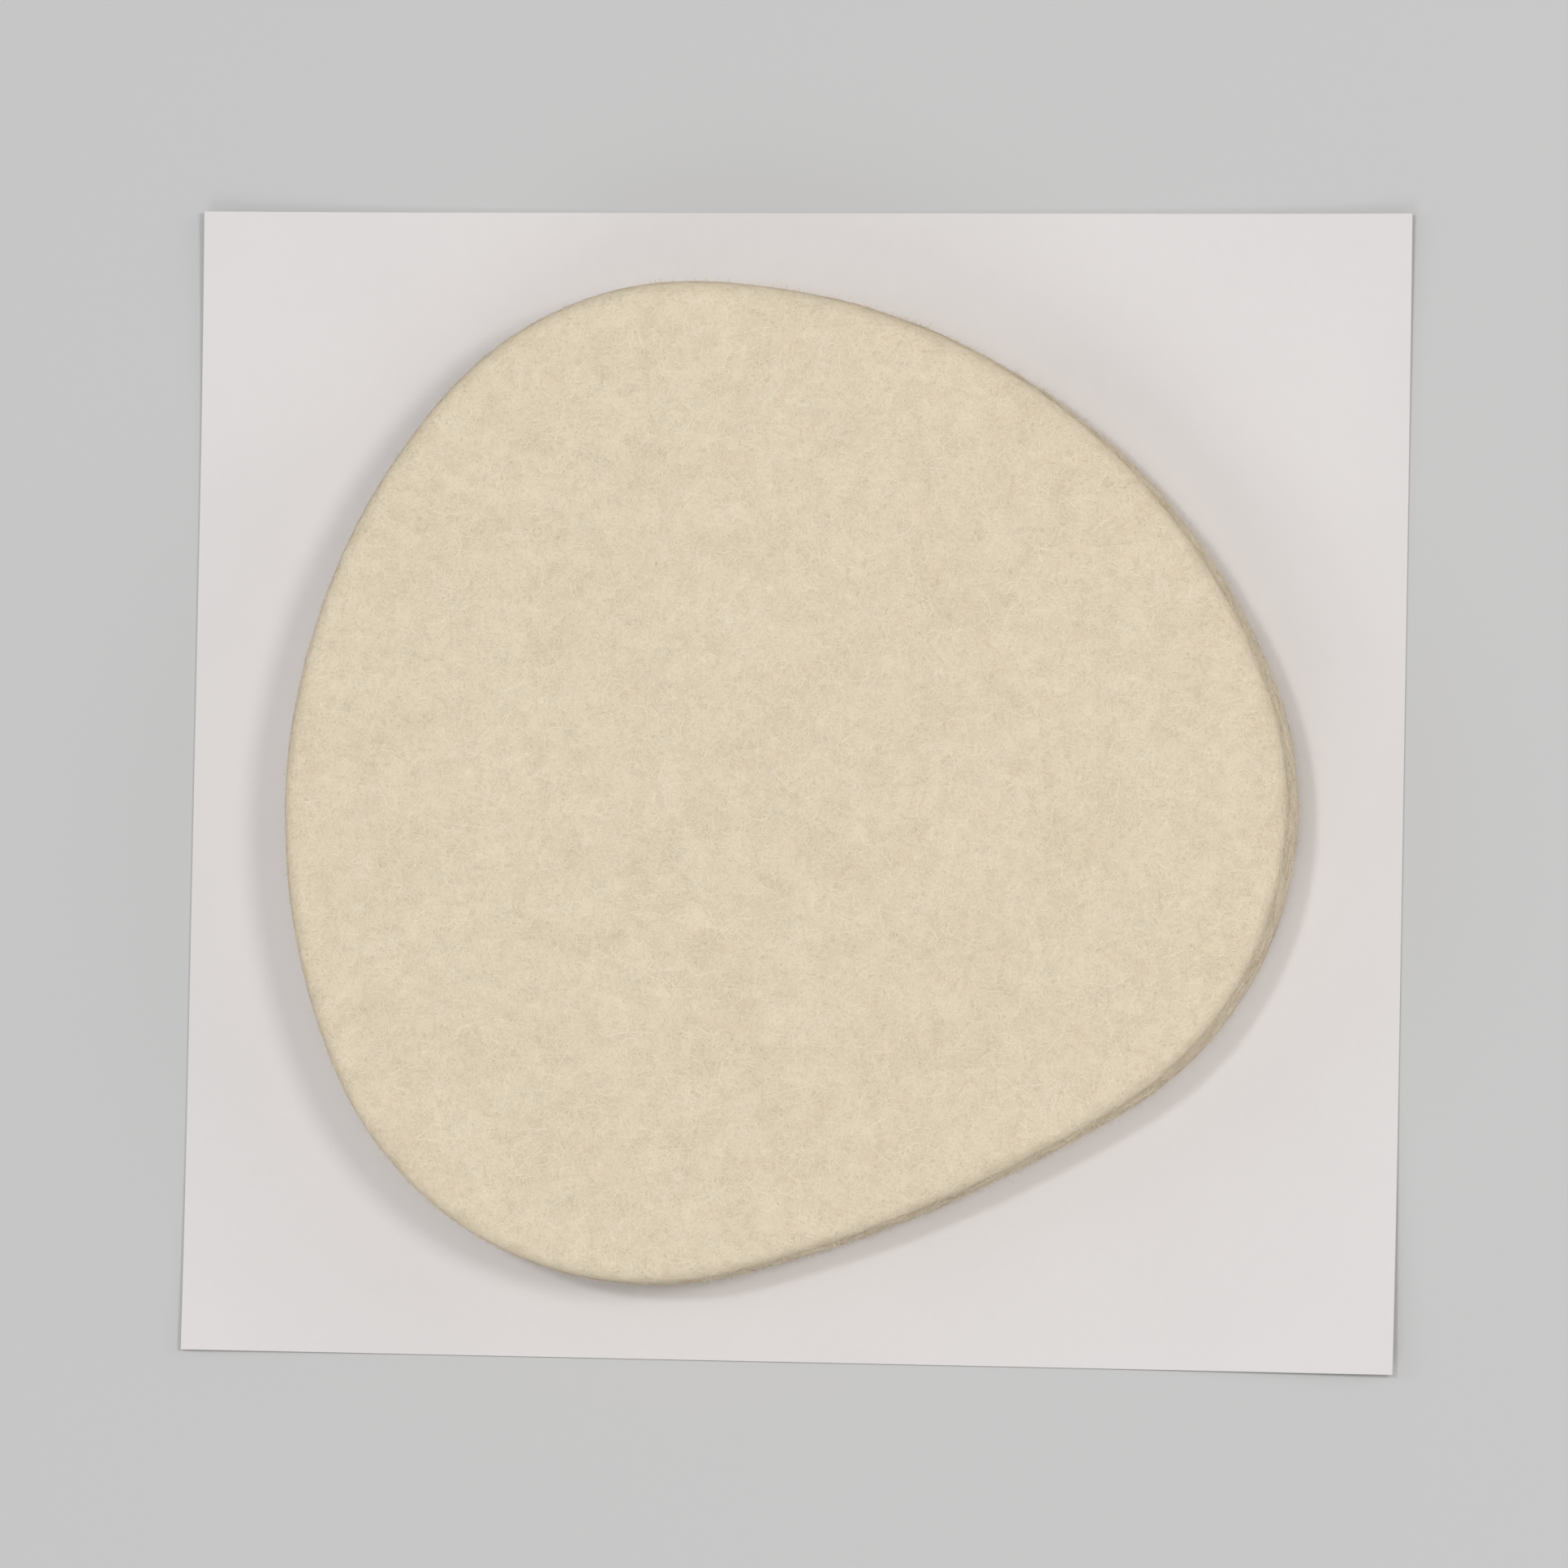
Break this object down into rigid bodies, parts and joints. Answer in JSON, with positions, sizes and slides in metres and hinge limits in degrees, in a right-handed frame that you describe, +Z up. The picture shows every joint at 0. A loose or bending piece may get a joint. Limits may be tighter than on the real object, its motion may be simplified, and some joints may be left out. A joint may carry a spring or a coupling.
{
  "type": "metatarsal pad on a release card",
  "caption": "Rounded-triangle pad of thick cream felt with a thin adhesive layer, lying on its plain white release card.",
  "frame": {"origin": "middle of the release card's underside", "axes": "+Z up through the stack, +X along the card's longer side, +Y towards the card's far edge as the picture shows it"},
  "size_m": [0.085, 0.0796, 0.0069],
  "materials": {
    "felt": "matt, pressed wool-type felt",
    "adhesive": "clear, slightly yellow film",
    "card": "smooth, satin release coating"
  },
  "bodies": {
    "root": {"felt_pad": "felt", "adhesive_film": "adhesive", "release_card": "card"}
  },
  "joints": []
}
